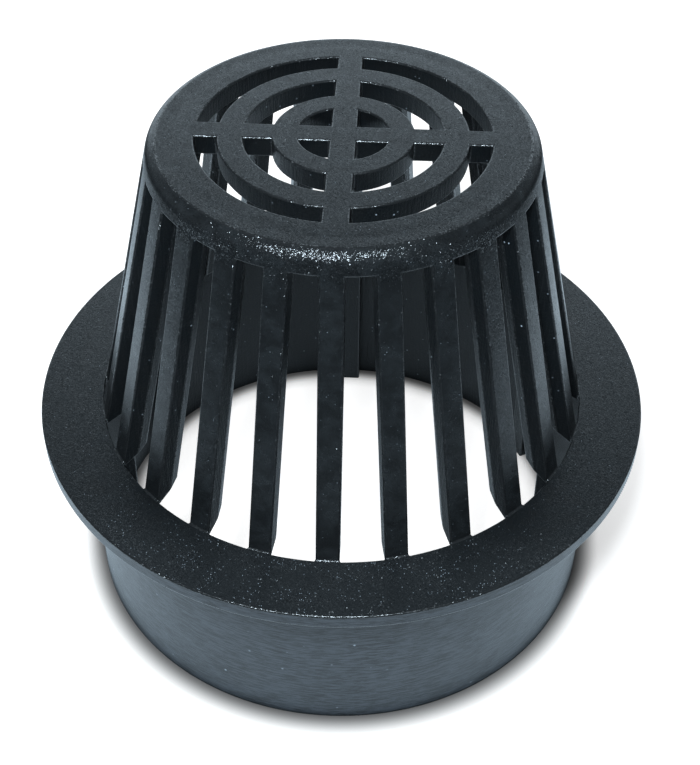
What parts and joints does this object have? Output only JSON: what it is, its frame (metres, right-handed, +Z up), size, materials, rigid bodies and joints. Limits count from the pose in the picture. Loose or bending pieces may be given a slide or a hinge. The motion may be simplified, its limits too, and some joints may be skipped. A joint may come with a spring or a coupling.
{
  "type": "atrium grate",
  "caption": "Domed drain grate moulded in one piece: a collar that pushes into a pipe, a flat flange, a cone of bars and a slotted flat top.",
  "frame": {"origin": "middle of the collar's lower rim, on the surface that the grate stands on", "axes": "+Z up the grate's axis from the collar to the flat top; one spoke of the top lies on each half of X and Y"},
  "size_m": [0.184, 0.184, 0.1536],
  "materials": {
    "moulded_plastic": "black moulded polyethylene, satin, with a fine grain and pale specks"
  },
  "bodies": {
    "root": {"atrium_grate": "moulded_plastic"}
  },
  "joints": []
}
